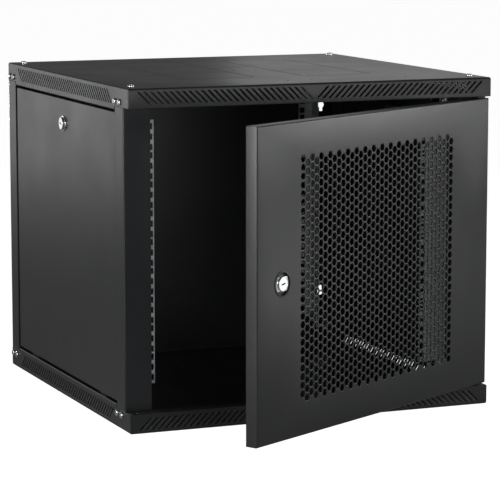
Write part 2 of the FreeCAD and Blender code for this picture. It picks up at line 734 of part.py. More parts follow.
def make_door():
    """A pressed door, pierced with a staggered field of six-sided holes, on two pins."""
    body = new_body("door_panel", DOOR + " * " + at("door_centre", "-hinge_inset", "height / 2", "0", "90"))
    tray(body, "door_width", "door_height", "door_return", "door_sheet", "door_bend")
    half = "grille_hole / 2"
    corner = "grille_hole * 0.57735"
    left = "-(grille_columns - 0.5) * grille_column_step"
    low = "-(grille_rows - 0.5) / 2 * grille_row_step"
    cells = []
    for x, y in ((left, f"{low} + grille_row_step / 2"), (f"{left} + grille_column_step", low)):
        cells.append([(f"{x} + {corner}", y), (f"{x} + {corner} / 2", f"{y} + {half}"),
                      (f"{x} - {corner} / 2", f"{y} + {half}"), (f"{x} - {corner}", y),
                      (f"{x} - {corner} / 2", f"{y} - {half}"), (f"{x} + {corner} / 2", f"{y} - {half}")])
    holes = prism(body, "cells", "XY", "-door_sheet - cut_over", "cut_over", cells, cut=True)
    across = ("H_Axis", "(grille_columns - 1) * 2 * grille_column_step", "grille_columns")
    upward = ("V_Axis", "(grille_rows - 1) * grille_row_step", "grille_rows")
    repeat(body, holes, "grille", [across, upward])
    cup_hole = many_sided("door_lock_x - door_centre", "0", "cup_well + cup_sheet + hole_gap", LOCK_SIDES)
    prism(body, "cup_hole", "XY", "-door_sheet - cut_over", "cut_over", [cup_hole], cut=True)
    pins = [(("-door_centre", "-hinge_inset"), "pin_radius")]
    for name, start, stop in (("lower_pin_hole", "-door_height / 2 - cut_over", "cut_over - door_height / 2"),
                              ("upper_pin_hole", "door_height / 2 - cut_over", "door_height / 2 + cut_over")):
        prism(body, name, "XZ", start, stop, circles=pins, cut=True)

    front = "door_inside"
    crown = "door_inside + stiffener_rise"
    for name, middle in (("hinge_side_stiffener", "hinge_inset - hinge_stiffener_inset"),
                         ("lock_side_stiffener", "hinge_inset - door_width + lock_stiffener_inset")):
        channel = new_body(name, DOOR)
        near = f"{middle} + stiffener_width / 2"
        far = f"{middle} - stiffener_width / 2"
        section = folded([(near, front), (near, crown), (far, crown), (far, front)], "stiffener_sheet")
        prism(channel, "channel", "XY",
              "door_base + door_sheet", "height - door_base - door_sheet", [section])

    pins = new_body("hinge_pins", DOOR)
    top = "height - door_base"
    for name, start, stop in (("lower", "door_base - pin_outside", "door_base + pin_inside"),
                              ("upper", f"{top} - pin_inside", f"{top} + pin_outside")):
        prism(pins, name, "XY", start, stop, circles=[(("0", "0"), "pin_radius")])

    bushes = new_body("hinge_bushes", at("hinge_x", "hinge_y"))
    bore = "pin_radius + running_gap"
    sleeve = f"{bore} + bush_wall"
    flange = f"{bore} + bush_flange"
    for name, lip, seat in (("lower", "cover_rise - cover_sheet", "cover_rise"),
                            ("upper", "height - cover_rise + cover_sheet", "height - cover_rise")):
        thrust = "door_gap - moving_gap"
        sleeves = (lip, seat) if name == "lower" else (seat, lip)
        flanges = (seat, f"{seat} + {thrust}") if name == "lower" else (f"{seat} - ({thrust})", seat)
        prism(bushes, f"{name}_sleeve", "XY", *sleeves, [many_sided("0", "0", sleeve, LOCK_SIDES)])
        prism(bushes, f"{name}_flange", "XY", *flanges, [many_sided("0", "0", flange, LOCK_SIDES)])
    prism(bushes, "bore", "XY", "0", "height", circles=[(("0", "0"), bore)], cut=True)

    lock_place = DOOR + " * " + at("door_lock_x", "-hinge_inset", "height / 2", "0", "90")
    cup = new_body("door_lock_cup", lock_place)
    prism(cup, "rim", "XY", "0", "cup_sheet", [many_sided("0", "0", "cup_radius", LOCK_SIDES)])
    prism(cup, "well", "XY", "-cup_depth - cup_sheet", "0",
          [many_sided("0", "0", "cup_well + cup_sheet", LOCK_SIDES)])
    prism(cup, "hollow", "XY", "-cup_depth", "cup_sheet + cut_over",
          [many_sided("0", "0", "cup_well", LOCK_SIDES)], cut=True)
    prism(cup, "neck_hole", "XY", "-cup_depth - cup_sheet - cut_over", "cut_over - cup_depth",
          [square("0", "0", "neck_size")], cut=True)
    make_lock("door_lock", lock_place, {
        "sheet": "(cup_depth + cup_sheet)", "neck": "door_neck", "collar": "door_collar_radius",
        "collar_base": "-cup_depth", "collar_rise": "door_collar_rise", "flat": "door_collar_flat",
        "disc": "door_disc_radius", "disc_rise": "door_disc_rise",
        "cam_width": "door_cam_width", "cam_reach": "door_cam_reach", "cam_side": 0})


make_covers()
make_posts()
make_depth_bars()
make_rails()
make_back_panel()
make_screws()
for side, sign in (("left", -1), ("right", 1)):
    make_side_panel(side, sign)
make_door()

doc.recompute()
failed = [item.Name for item in doc.Objects if "Invalid" in item.State or "Error" in item.State]
failed += [node.Label for node in NODES if node.Shape.isNull() or not node.Shape.isValid()]
if failed:
    raise RuntimeError("failed: " + ", ".join(failed))
os.makedirs("parts", exist_ok=True)
for node in NODES:
    node.Shape.exportStep(f"parts/{node.Label}.step")
    print(node.Label, len(node.Shape.Solids), round(node.Shape.Volume))
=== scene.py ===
"""The finish of a wall mount network cabinet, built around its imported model. Metres, +Z up, door towards -Y."""
import json
import math
import bpy
from mathutils import Matrix, Vector

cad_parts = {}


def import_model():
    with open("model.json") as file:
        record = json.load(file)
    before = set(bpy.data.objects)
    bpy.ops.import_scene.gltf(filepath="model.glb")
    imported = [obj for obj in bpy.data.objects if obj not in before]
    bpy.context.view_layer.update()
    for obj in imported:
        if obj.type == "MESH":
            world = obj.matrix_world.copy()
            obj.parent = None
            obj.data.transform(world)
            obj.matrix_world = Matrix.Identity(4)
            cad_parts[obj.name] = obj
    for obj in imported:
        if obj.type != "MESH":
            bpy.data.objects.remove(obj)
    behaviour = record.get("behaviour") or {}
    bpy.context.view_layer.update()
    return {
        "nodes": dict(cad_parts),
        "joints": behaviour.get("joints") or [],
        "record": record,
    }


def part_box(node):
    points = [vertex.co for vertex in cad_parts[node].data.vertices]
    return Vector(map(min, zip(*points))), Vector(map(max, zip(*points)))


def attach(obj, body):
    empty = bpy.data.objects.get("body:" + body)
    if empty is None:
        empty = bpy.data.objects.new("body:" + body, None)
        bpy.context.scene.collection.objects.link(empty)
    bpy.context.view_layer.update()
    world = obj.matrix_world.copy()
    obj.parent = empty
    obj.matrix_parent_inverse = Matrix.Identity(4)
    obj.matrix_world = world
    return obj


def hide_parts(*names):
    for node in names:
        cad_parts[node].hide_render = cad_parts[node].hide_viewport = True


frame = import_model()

MM = 0.001
TINY = 1e-6  # what lies closer than this is at the same place
REACH = 2 * MM  # how far a cutter stands past what it cuts
BITE = 0.1 * MM  # how far a welded part sinks into the other
TURNED = 64  # the sides of a part turned on a lathe
NODES = frame["nodes"]
JOINTS = {joint["name"]: joint for joint in frame["joints"]}
LOW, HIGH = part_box("bottom_cover")[0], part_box("top_cover")[1]
HEIGHT, HALF_WIDTH, HALF_DEPTH = HIGH.z, HIGH.x, HIGH.y
SHEET = 1.5 * MM  # the covers' and the door's steel

# The door stands open: this turns it about its pins from shut to where it rests.
HINGE = Matrix.Translation(JOINTS["door_hinge"]["pos_m"])
SWING = HINGE @ Matrix.Rotation(math.radians(-JOINTS["door_hinge"]["range_deg"][0]), 4, "Z") @ HINGE.inverted()


def shut_box(node):
    """The lowest and highest corner of a node of the door as it would be with the door shut."""
    spots = [SWING.inverted() @ vertex.co for vertex in NODES[node].data.vertices]
    return tuple(Vector(pick(spot[axis] for spot in spots) for axis in range(3)) for pick in (min, max))


def solids(node):
    """The lowest and highest corner of each separate solid of a node."""
    mesh = NODES[node].data
    decimals = 6  # to the micrometre, so that faces share their corners
    spots = [vertex.co.to_tuple(decimals) for vertex in mesh.vertices]
    leader = {spot: spot for spot in spots}

    def first(spot):
        while leader[spot] != spot:
            spot = leader[spot]
        return spot

    for face in mesh.polygons:
        for index in face.vertices:
            leader[first(spots[index])] = first(spots[face.vertices[0]])
    groups = {}
    for spot in spots:
        groups.setdefault(first(spot), []).append(spot)
    return [tuple(Vector(pick(spot[axis] for spot in group) for axis in range(3)) for pick in (min, max))
            for group in groups.values()]


# ---- modelling by hand ----

def only(obj):
    """Leaves obj alone selected and active, in object mode."""
    if bpy.context.object and bpy.context.object.mode != "OBJECT":
        bpy.ops.object.mode_set(mode="OBJECT")
    bpy.ops.object.select_all(action="DESELECT")
    obj.select_set(True)
    bpy.context.view_layer.objects.active = obj


def settle(obj, name):
    """Names a new object and puts its place, turn and size into its mesh."""
    only(obj)
    obj.name = name
    obj.data.name = name
    bpy.ops.object.transform_apply(location=True, rotation=True, scale=True)
    return obj


def block(name, low, high):
    """A cube between two corners, to start from."""
    low, high = Vector(low), Vector(high)
    bpy.ops.object.select_all(action="DESELECT")
    bpy.ops.mesh.primitive_cube_add(size=1, location=(low + high) / 2, scale=high - low)
    return settle(bpy.context.object, name)


def rod(name, radius, start, stop, sides=48, turn=0.0):
    """A cylinder or a prism between two points on its axis, to start from."""
    start, stop = Vector(start), Vector(stop)
    along = stop - start
    bpy.ops.object.select_all(action="DESELECT")
    bpy.ops.mesh.primitive_cylinder_add(vertices=sides, radius=radius, depth=along.length)
    made = bpy.context.object
    spun = Matrix.Rotation(turn, 4, "Z")
    aimed = along.to_track_quat("Z", "Y").to_matrix().to_4x4()
    made.matrix_world = Matrix.Translation((start + stop) / 2) @ aimed @ spun
    return settle(made, name)


def edit(obj, kind, wanted):
    """Edit mode on obj with only those of its vertices, edges or faces selected that pass the test."""
    only(obj)
    mesh = obj.data
    groups = {"VERT": mesh.vertices, "EDGE": mesh.edges, "FACE": mesh.polygons}
    for group in groups.values():
        group.foreach_set("select", [False] * len(group))
    bpy.context.tool_settings.mesh_select_mode = [kind == each for each in groups]
    for item in groups[kind]:
        if wanted(item):
            item.select = True
            for index in ([] if kind == "VERT" else item.vertices):
                mesh.vertices[index].select = True
    bpy.ops.object.mode_set(mode="EDIT")


def done():
    """Back to object mode."""
    bpy.ops.object.mode_set(mode="OBJECT")


def modify(obj, kind, **settings):
    """Adds one modifier with its settings and applies it."""
    only(obj)
    modifier = obj.modifiers.new(kind.title(), kind)
    for key, setting in settings.items():
        setattr(modifier, key, setting)
    bpy.ops.object.modifier_apply(modifier=modifier.name)
    return obj


def row(obj, count, step):
    """Repeats obj along a step."""
    return modify(obj, "ARRAY", count=count, use_relative_offset=False,
                  use_constant_offset=True, constant_offset_displace=step)


def cut(obj, tool):
    """Takes the tool's shape out of obj and removes the tool."""
    modify(obj, "BOOLEAN", operation="DIFFERENCE", solver="EXACT", object=tool)
    bpy.data.objects.remove(tool)
    return obj


def weld(obj, tool):
    """Adds the tool's shape to obj and removes the tool."""
    modify(obj, "BOOLEAN", operation="UNION", solver="EXACT", object=tool)
    bpy.data.objects.remove(tool)


def at_height(obj, height):
    """A test for the edges and faces of obj that lie flat at one height."""
    return lambda item: all(abs(obj.data.vertices[index].co.z - height) < TINY for index in item.vertices)


def stepped(obj, height, *steps):
    """Insets the flat face at one height and moves it by a rise, for each (inset, rise); no inset extrudes it."""
    edit(obj, "FACE", at_height(obj, height))
    for inset, rise in steps:
        if inset:
            bpy.ops.mesh.inset(thickness=inset)
            bpy.ops.transform.translate(value=(0, 0, rise))
        else:
            bpy.ops.mesh.extrude_region_move(TRANSFORM_OT_translate={"value": (0, 0, rise)})
    done()


def softened(obj, wanted, offset, segments=3):
    """Rounds the picked edges."""
    edit(obj, "EDGE", wanted)
    bpy.ops.mesh.bevel(offset=offset, segments=segments, affect="EDGES")
    done()


def facing(place, direction, turn=0.0):
    """Puts what was made standing on the origin at a place, with its top towards a direction."""
    aimed = Vector(direction).to_track_quat("Z", "Y").to_matrix().to_4x4()
    return Matrix.Translation(place) @ aimed @ Matrix.Rotation(math.radians(turn), 4, "Z")


def placed(obj, place):
    """Moves obj by a matrix, within its mesh."""
    obj.matrix_world = place
    return settle(obj, obj.name)


def joined(name, pieces):
    """Joins several objects into the first."""
    only(pieces[0])
    for piece in pieces[1:]:
        piece.select_set(True)
    bpy.ops.object.join()
    return settle(bpy.context.object, name)


def copied(obj, name, place):
    """A copy of obj with a mesh of its own, moved by a matrix."""
    twin = obj.copy()
    twin.data = obj.data.copy()
    bpy.context.scene.collection.objects.link(twin)
    twin.matrix_world = place
    return settle(twin, name)


def smooth(obj, angle):
    """Smooth shading, with edges sharper than the angle kept crisp."""
    only(obj)
    bpy.ops.object.shade_smooth_by_angle(angle=math.radians(angle))
    return obj


def pressed_tray(name, low, high, side, bend):
    """A tray of folded sheet: a box open at one side, given as an axis and a sign, its bends round."""
    tray = block(name, low, high)
    axis, sign = side
    floor = (low if sign > 0 else high)[axis]

    def on_floor(index):
        return abs(tray.data.vertices[index].co[axis] - floor) < TINY

    edit(tray, "FACE", lambda face: face.normal[axis] * sign > 0.5)
    bpy.ops.mesh.delete(type="FACE")
    done()
    softened(tray, lambda edge: all(on_floor(index) for index in edge.vertices), bend, segments=6)
    return modify(tray, "SOLIDIFY", thickness=SHEET, offset=-1, use_even_offset=True)


# ---- finishes ----

def linear(colour):
    """An sRGB hex colour as linear red, green, blue and alpha."""
    channels = [int(colour[i:i + 2], 16) / 255 for i in (1, 3, 5)]
    return [c / 12.92 if c <= 0.04045 else ((c + 0.055) / 1.055) ** 2.4 for c in channels] + [1.0]


def add(tree, kind, inputs=None, **settings):
    """Adds a node with its settings; each input is a value or the socket that feeds it."""
    made = tree.nodes.new(kind)
    for key, setting in settings.items():
        setattr(made, key, setting)
    for key, source in (inputs or {}).items():
        if isinstance(source, bpy.types.NodeSocket):
            tree.links.new(source, made.inputs[key])
        else:
            made.inputs[key].default_value = source
    return made


def per(size):
    """The scale that gives a pattern its real size, in millimetres."""
    return 1 / (size * MM)


def new_material(name):
    """An empty material and its tree."""
    material = bpy.data.materials.new(name)
    material.use_nodes = True
    material.node_tree.nodes.clear()
    return material, material.node_tree


def shades(tree, factor, stops):
    """A colour ramp over the factor, through (position, colour) stops."""
    ramp = add(tree, "ShaderNodeValToRGB", {"Fac": factor})
    elements = ramp.color_ramp.elements
    for end in (0, -1):
        elements[end].position, elements[end].color = stops[end][0], linear(stops[end][1])
    for position, colour in stops[1:-1]:
        elements.new(position).color = linear(colour)
    return ramp.outputs["Color"]


def powder_coat():
    """Black polyester powder coat: baked grains and a slight orange peel give a soft, broken sheen."""
    material, tree = new_material("black_powder_coat")
    place = add(tree, "ShaderNodeTexCoord").outputs["Object"]
    # The real grains are about 0.3 mm across, too fine to show, so they are drawn at 0.9 mm.
    grain = add(tree, "ShaderNodeTexNoise", {"Vector": place, "Scale": per(0.9), "Detail": 3.0,
                                             "Roughness": 0.6})
    peel = add(tree, "ShaderNodeTexNoise", {"Vector": place, "Scale": per(3.5), "Detail": 2.0})
    drift = add(tree, "ShaderNodeTexNoise", {"Vector": place, "Scale": per(90), "Detail": 3.0})
    colour = shades(tree, grain.outputs["Fac"], [(0.35, "#17181a"), (0.55, "#1c1d1f"), (0.75, "#292b2e")])
    rough = add(tree, "ShaderNodeMapRange", {"Value": drift.outputs["Fac"], "From Min": 0.3, "From Max": 0.7,
                                             "To Min": 0.28, "To Max": 0.34})
    # Sheet folds with a small radius: it draws a thin line of light along the plain edges of the solids.
    folded = add(tree, "ShaderNodeBevel", {"Radius": 1.3 * MM}, samples=6)
    peeled = add(tree, "ShaderNodeBump", {"Height": peel.outputs["Fac"], "Strength": 0.12, "Distance": 0.3 * MM,
                                          "Normal": folded.outputs["Normal"]})
    grained = add(tree, "ShaderNodeBump", {"Height": grain.outputs["Fac"], "Strength": 0.35, "Distance": 0.12 * MM,
                                           "Normal": peeled.outputs["Normal"]})
    shader = add(tree, "ShaderNodeBsdfPrincipled", {
        "Base Color": colour, "Roughness": rough.outputs["Result"], "Normal": grained.outputs["Normal"],
        "Specular IOR Level": 0.5})
    add(tree, "ShaderNodeOutputMaterial", {"Surface": shader.outputs["BSDF"]})
    return material


def galvanised():
    """Galvanised sheet: zinc crystals give a soft patchwork of slightly lighter and darker grey."""
    material, tree = new_material("galvanised_sheet")
    place = add(tree, "ShaderNodeTexCoord").outputs["Object"]
    spangle = add(tree, "ShaderNodeTexVoronoi", {"Vector": place, "Scale": per(7)})
    fine = add(tree, "ShaderNodeTexNoise", {"Vector": place, "Scale": per(1.2), "Detail": 3.0})
    # Inputs 6 and 7 of a mix node, and its output 2, are the ones for colours.
    patch = add(tree, "ShaderNodeMix", {"Factor": 0.3, 6: spangle.outputs["Color"], 7: fine.outputs["Color"]},
                data_type="RGBA")
    level = add(tree, "ShaderNodeRGBToBW", {"Color": patch.outputs[2]})
    colour = shades(tree, level.outputs["Val"], [(0.2, "#a4a7a9"), (0.8, "#c6c8c9")])
    rough = add(tree, "ShaderNodeMapRange", {"Value": level.outputs["Val"], "To Min": 0.42, "To Max": 0.56})
    bump = add(tree, "ShaderNodeBump", {"Height": fine.outputs["Fac"], "Strength": 0.1, "Distance": 0.1 * MM})
    shader = add(tree, "ShaderNodeBsdfPrincipled", {
        "Base Color": colour, "Metallic": 0.5, "Roughness": rough.outputs["Result"],
        "Normal": bump.outputs["Normal"]})
    add(tree, "ShaderNodeOutputMaterial", {"Surface": shader.outputs["BSDF"]})
    return material


def plated(name, dark, light, low, high):
    """Bright plated steel: a mirror with faint tumbling marks that cloud its roughness."""
    material, tree = new_material(name)
    place = add(tree, "ShaderNodeTexCoord").outputs["Object"]
    # The real marks are about 0.3 mm long, too fine to show, so they are drawn at 1.5 mm.
    marks = add(tree, "ShaderNodeTexNoise", {"Vector": place, "Scale": per(1.5), "Detail": 4.0})
    colour = shades(tree, marks.outputs["Fac"], [(0.3, dark), (0.7, light)])
    rough = add(tree, "ShaderNodeMapRange", {"Value": marks.outputs["Fac"], "From Min": 0.3, "From Max": 0.7,
                                             "To Min": low, "To Max": high})
    bump = add(tree, "ShaderNodeBump", {"Height": marks.outputs["Fac"], "Strength": 0.012, "Distance": 0.05 * MM})
    shader = add(tree, "ShaderNodeBsdfPrincipled", {
        "Base Color": colour, "Metallic": 1.0, "Roughness": rough.outputs["Result"],
        "Normal": bump.outputs["Normal"]})
    add(tree, "ShaderNodeOutputMaterial", {"Surface": shader.outputs["BSDF"]})
    return material


def black_nylon():
    """Moulded black nylon: dull, with a faint cloud where the mould was worn."""
    material, tree = new_material("black_nylon")
    place = add(tree, "ShaderNodeTexCoord").outputs["Object"]
    cloud = add(tree, "ShaderNodeTexNoise", {"Vector": place, "Scale": per(2.5), "Detail": 4.0})
    colour = shades(tree, cloud.outputs["Fac"], [(0.3, "#121314"), (0.7, "#1d1e20")])
    bump = add(tree, "ShaderNodeBump", {"Height": cloud.outputs["Fac"], "Strength": 0.15, "Distance": 0.1 * MM})
    shader = add(tree, "ShaderNodeBsdfPrincipled", {
        "Base Color": colour, "Roughness": 0.42, "Normal": bump.outputs["Normal"]})
    add(tree, "ShaderNodeOutputMaterial", {"Surface": shader.outputs["BSDF"]})
    return material


FINISHES = {
    "powder_coat": powder_coat(),
    "galvanised_steel": galvanised(),
    "chrome": plated("nickel_chrome_plate", dark="#c9cbcd", light="#e6e7e8", low=0.08, high=0.2),
    "zinc_plate": plated("bright_zinc_plate", dark="#a9acad", light="#c9cbca", low=0.28, high=0.42),
    "black_plastic": black_nylon(),
}


def finish(obj, body, slot, *replaced):
    """Gives a new piece its finish, its body and the CAD nodes that it stands for."""
    obj.data.materials.clear()
    obj.data.materials.append(FINISHES[slot])
    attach(obj, body)
    if replaced:
        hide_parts(*replaced)


# ---- covers ----

COVER_RISE = 30 * MM
COVER_BEND = 3 * MM
RIM = HEIGHT - COVER_RISE
SKIRT_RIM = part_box("top_cover")[0].z
SKIRT_ENDS = (-237 * MM, 259 * MM)
SKIRT_LIP = 12 * MM
SKIRT_BEND = 1.3 * MM
FRONT_LIP = 22 * MM
CORNER_SLIT = 0.6 * MM
HINGE_HOLE_RADIUS = 5.05 * MM
SMALL_HOLE_RADIUS = 2.2 * MM


def slanted_slots(low, high, slant, count, step):
    """A row of slots: one between two corners, its lower end moved by the slant, then repeated."""
    slot = block("slots", low, high)
    middle = (low[2] + high[2]) / 2
    edit(slot, "VERT", lambda vertex: vertex.co.z < middle)
    bpy.ops.transform.translate(value=slant)
    done()
    return row(slot, count, step)


def front_slots(side):
    """Slanted slots along one half of the front flange, the first one by the corner."""
    wide, tall, top = 3.5 * MM, 18 * MM, HEIGHT - 5.6 * MM
    margin, step, count = 14.2 * MM, 10.07 * MM, 27
    start = side * (HALF_WIDTH - margin - wide / 2)
    return slanted_slots((start - wide / 2, -HALF_DEPTH - REACH, top - tall),
                         (start + wide / 2, SHEET + REACH - HALF_DEPTH, top),
                         (-side * tall, 0, 0), count, (-side * step, 0, 0))


def side_slots(side):
    """Slanted slots along a side flange, their upper ends towards the back."""
    wide, tall, top = 3.8 * MM, 20 * MM, HEIGHT - 7 * MM
    start, step, count = -204 * MM, 10.46 * MM, 44
    return slanted_slots((side * HALF_WIDTH - REACH, start - wide / 2, top - tall),
                         (side * HALF_WIDTH + REACH, start + wide / 2, top),
                         (0, -tall, 0), count, (0, step, 0))


def knockout_lines(low_x, high_x, low_y, high_y):
    """The four lines of a knock-out, scored into both faces of the plate and short of the corners."""
    bridge, wide, deep = 6 * MM, 1.8 * MM, 0.6 * MM
    under = HEIGHT - SHEET
    lines = []
    for low_z, high_z in ((under - REACH, under + deep), (HEIGHT - deep, HEIGHT + REACH)):
        for x in (low_x, high_x - wide):
            lines.append(block("line", (x, low_y + bridge, low_z), (x + wide, high_y - bridge, high_z)))
        for y in (low_y, high_y - wide):
            lines.append(block("line", (low_x + bridge, y, low_z), (high_x - bridge, y + wide, high_z)))
    return lines


def cover(name, knockouts, holes):
    """A cover as the upper one stands: folded flanges, lips, slots, knock-outs and small holes."""
    shell = pressed_tray(name, (-HALF_WIDTH, -HALF_DEPTH, RIM), (HALF_WIDTH, HALF_DEPTH, HEIGHT), (2, -1),
                         COVER_BEND)
    weld(shell, block("lip", (COVER_BEND - HALF_WIDTH, SHEET / 2 - HALF_DEPTH, RIM),
                      (HALF_WIDTH - COVER_BEND, FRONT_LIP - HALF_DEPTH, RIM + SHEET)))
    for side in (-1, 1):
        outer, inner, lip = (side * (HALF_WIDTH - depth) for depth in (0, SHEET, SKIRT_LIP))
        for low_x, high_x, top in ((min(outer, inner), max(outer, inner), RIM + SHEET),
                                   (min(outer, lip), max(outer, lip), SKIRT_RIM + SHEET)):
            weld(shell, block("skirt", (low_x, SKIRT_ENDS[0], SKIRT_RIM), (high_x, SKIRT_ENDS[1], top)))
    softened(shell, lambda edge: all(abs(abs(spot.x) - HALF_WIDTH) + abs(spot.z - SKIRT_RIM) < TINY
                                     for spot in (shell.data.vertices[index].co for index in edge.vertices)),
             SKIRT_BEND, segments=4)
    hinge = HINGE.translation
    cutters = []
    for side in (-1, 1):
        cutters += [front_slots(side), side_slots(side)]
        cutters.append(rod("hinge_hole", HINGE_HOLE_RADIUS, (side * hinge.x, hinge.y, RIM - REACH),
                           (side * hinge.x, hinge.y, RIM + SHEET + REACH)))
        # The flanges only meet at a corner: a slit stays open between them.
        for y in (-HALF_DEPTH + SHEET, HALF_DEPTH - SHEET - CORNER_SLIT):
            cutters.append(block("slit", (side * HALF_WIDTH - REACH, y, RIM - REACH),
                                 (side * HALF_WIDTH + REACH, y + CORNER_SLIT, HEIGHT - COVER_BEND)))
    for knockout in knockouts:
        cutters += knockout_lines(*knockout)
    for x, y in holes:
        cutters.append(rod("hole", SMALL_HOLE_RADIUS, (x, y, HEIGHT - SHEET - REACH),
                           (x, y, HEIGHT + REACH), sides=24))
    return smooth(cut(shell, joined("cutters", cutters)), angle=30)


def knockout_pair(front):
    """Two long knock-outs side by side, at a distance from the front."""
    length, wide, offset = 361 * MM, 120 * MM, 100 * MM
    return [(side * offset - wide / 2, side * offset + wide / 2, front - HALF_DEPTH, front + length - HALF_DEPTH)
            for side in (-1, 1)]


def hole_grid(*rows):
    """Small holes beside the knock-outs, in rows at distances from the front in millimetres."""
    return [(x * MM, y * MM - HALF_DEPTH) for y in rows for x in (-180, -20, 20, 180)]


def covers():
    """The upper cover, and the lower one: the same pressing turned over, with a cable entry at its back."""
    upper = cover("upper_cover", knockout_pair(137 * MM), hole_grid(58, 282, 510))
    finish(upper, "cabinet", "powder_coat", "top_cover")
    cable_entry = (-67 * MM, 67 * MM, 542 * MM - HALF_DEPTH, 573 * MM - HALF_DEPTH)
    lower = cover("lower_cover", knockout_pair(112 * MM) + [cable_entry], hole_grid(40, 265, 490))
    placed(lower, Matrix.Translation((0, 0, HEIGHT)) @ Matrix.Rotation(math.pi, 4, "Y"))
    finish(lower, "cabinet", "powder_coat", "bottom_cover")


# ---- door ----

def grille(low, high):
    """A staggered field of six-sided holes, flat side up, in the middle of the door."""
    across, step_x, step_z = 10.15 * MM, 10.87 * MM, 12.55 * MM
    columns, rows, top = 36, 28, 432.7 * MM
    sixth = math.pi / 6
    left = (low.x + high.x) / 2 - (columns - 1) / 2 * step_x
    fields = []
    for column in (0, 1):
        x, z = left + column * step_x, top - column * step_z / 2
        cell = rod("cells", across / 2 / math.cos(sixth), (x, low.y - REACH, z), (x, low.y + SHEET + REACH, z),
                   sides=6, turn=sixth)
        row(cell, rows, (0, 0, -step_z))
        fields.append(row(cell, columns // 2, (2 * step_x, 0, 0)))
    return joined("grille", fields)


def door():
    """The pressed door: a deep tray, open at its corners, with a grille, a lock hole and two pin holes."""
    slit, fold, pin_radius, dish_rim = 0.7 * MM, 2 * MM, 3 * MM, 1.7 * MM
    low, high = shut_box("door_panel")
    panel = pressed_tray("door_skin", low, high, (1, 1), fold)
    cutters = []
    for x in (low.x + SHEET, high.x - SHEET - slit):
        for z in (low.z, high.z):
            cutters.append(block("slit", (x, low.y + fold, z - REACH), (x + slit, high.y + REACH, z + REACH)))
    pin = HINGE.translation
    for z in (low.z, high.z):
        cutters.append(rod("pin_hole", pin_radius, (pin.x, pin.y, z - REACH), (pin.x, pin.y, z + REACH)))
    dish_low, dish_high = shut_box("door_lock_cup")
    middle = (dish_low + dish_high) / 2
    well = (dish_high.x - dish_low.x) / 2 - dish_rim
    cutters.append(rod("lock_hole", well, (middle.x, low.y - REACH, middle.z),
                       (middle.x, low.y + 2 * REACH, middle.z)))
    cut(panel, joined("cutters", cutters))
    cut(panel, grille(low, high))
    placed(smooth(panel, angle=30), SWING)
    finish(panel, "door", "powder_coat", "door_panel")


# ---- locks ----

LOCK_ROUND = 0.5 * MM
SHAFT_RADIUS = 6 * MM
BORE_RADIUS = 6.05 * MM
HALF_NECK = 8 * MM


def lock_plug(name, radius, rise, shaft, turn):
    """The turning part of a cam lock: a polished disc with a key slot, on a shaft."""
    half_slot, half_key, slot_depth = 4.6 * MM, 1.1 * MM, 9 * MM
    border, slope, sunk = 0.7 * MM, 0.25 * MM, 0.15 * MM
    disc = rod(name, radius, (0, 0, 0), (0, 0, rise), TURNED)
    softened(disc, at_height(disc, rise), LOCK_ROUND, segments=5)
    stepped(disc, rise, (border, 0), (slope, -sunk))
    weld(disc, rod("shaft", SHAFT_RADIUS, (0, 0, -shaft), (0, 0, BITE)))
    slot = block("key_slot", (-half_slot, -half_key, rise - slot_depth), (half_slot, half_key, rise + REACH))
    placed(slot, Matrix.Rotation(math.radians(turn), 4, "Z"))
    return smooth(cut(disc, slot), angle=24)


def lock_barrel(name, radius, rise, neck, flat=None):
    """The fixed part of a cam lock: a rimmed collar on a square neck, bored for the plug."""
    collar = rod(name, radius, (0, 0, 0), (0, 0, rise), TURNED)
    softened(collar, at_height(collar, rise), LOCK_ROUND)
    if flat:
        for side in (-1, 1):
            edge = side * (flat + radius)
            cut(collar, block("flat", (-2 * radius, edge - radius, -REACH),
                              (2 * radius, edge + radius, rise + REACH)))
    weld(collar, block("neck", (-HALF_NECK, -HALF_NECK, -neck), (HALF_NECK, HALF_NECK, BITE)))
    cut(collar, rod("bore", BORE_RADIUS, (0, 0, -neck - REACH), (0, 0, rise + REACH)))
    return smooth(collar, angle=35)


def lock_dish(name, radius, thick):
    """The black dish: a rim that rolls in to a sunk floor, with a square hole for the lock's neck."""
    rim, rim_round, rim_wide, overhang = 0.8 * MM, 0.35 * MM, 2.1 * MM, 2.2 * MM
    slope, floor = 0.7 * MM, 3 * MM
    dish = rod(name, radius, (0, 0, 0), (0, 0, rim), TURNED)
    softened(dish, at_height(dish, rim), rim_round)
    stepped(dish, 0, (overhang, 0), (0, rim - thick))
    stepped(dish, rim, (rim_wide, 0), (slope, -floor - rim))
    cut(dish, block("neck_hole", (-HALF_NECK, -HALF_NECK, -thick - REACH), (HALF_NECK, HALF_NECK, 0)))
    return smooth(dish, angle=35)


def door_lock():
    """The door's lock in its black dish."""
    collar_rise, collar_flat, face_rise, key_turn = 2.5 * MM, 10 * MM, 2 * MM, 9
    low, high = shut_box("door_lock_cup")
    axis = Vector(((low.x + high.x) / 2, 0, (low.z + high.z) / 2))

    def seated(piece, y):
        """Puts a piece made standing on the origin on the lock's axis, its top towards the front."""
        return placed(piece, SWING @ facing(axis + Vector((0, y, 0)), (0, -1, 0)))

    dish = lock_dish("lock_dish", (high.x - low.x) / 2, high.y - low.y)
    finish(seated(dish, shut_box("door_panel")[0].y), "door", "black_plastic", "door_lock_cup")
    low, high = shut_box("door_lock_barrel")
    collar = lock_barrel("door_lock_collar", (high.x - low.x) / 2, collar_rise,
                         high.y - low.y - collar_rise, collar_flat)
    finish(seated(collar, low.y + collar_rise), "door", "chrome", "door_lock_barrel")
    low, high = shut_box("door_lock_plug")
    face = lock_plug("door_lock_face", (high.x - low.x) / 2, face_rise, high.y - low.y - face_rise, key_turn)
    finish(seated(face, low.y + face_rise), "door_lock", "chrome", "door_lock_plug")


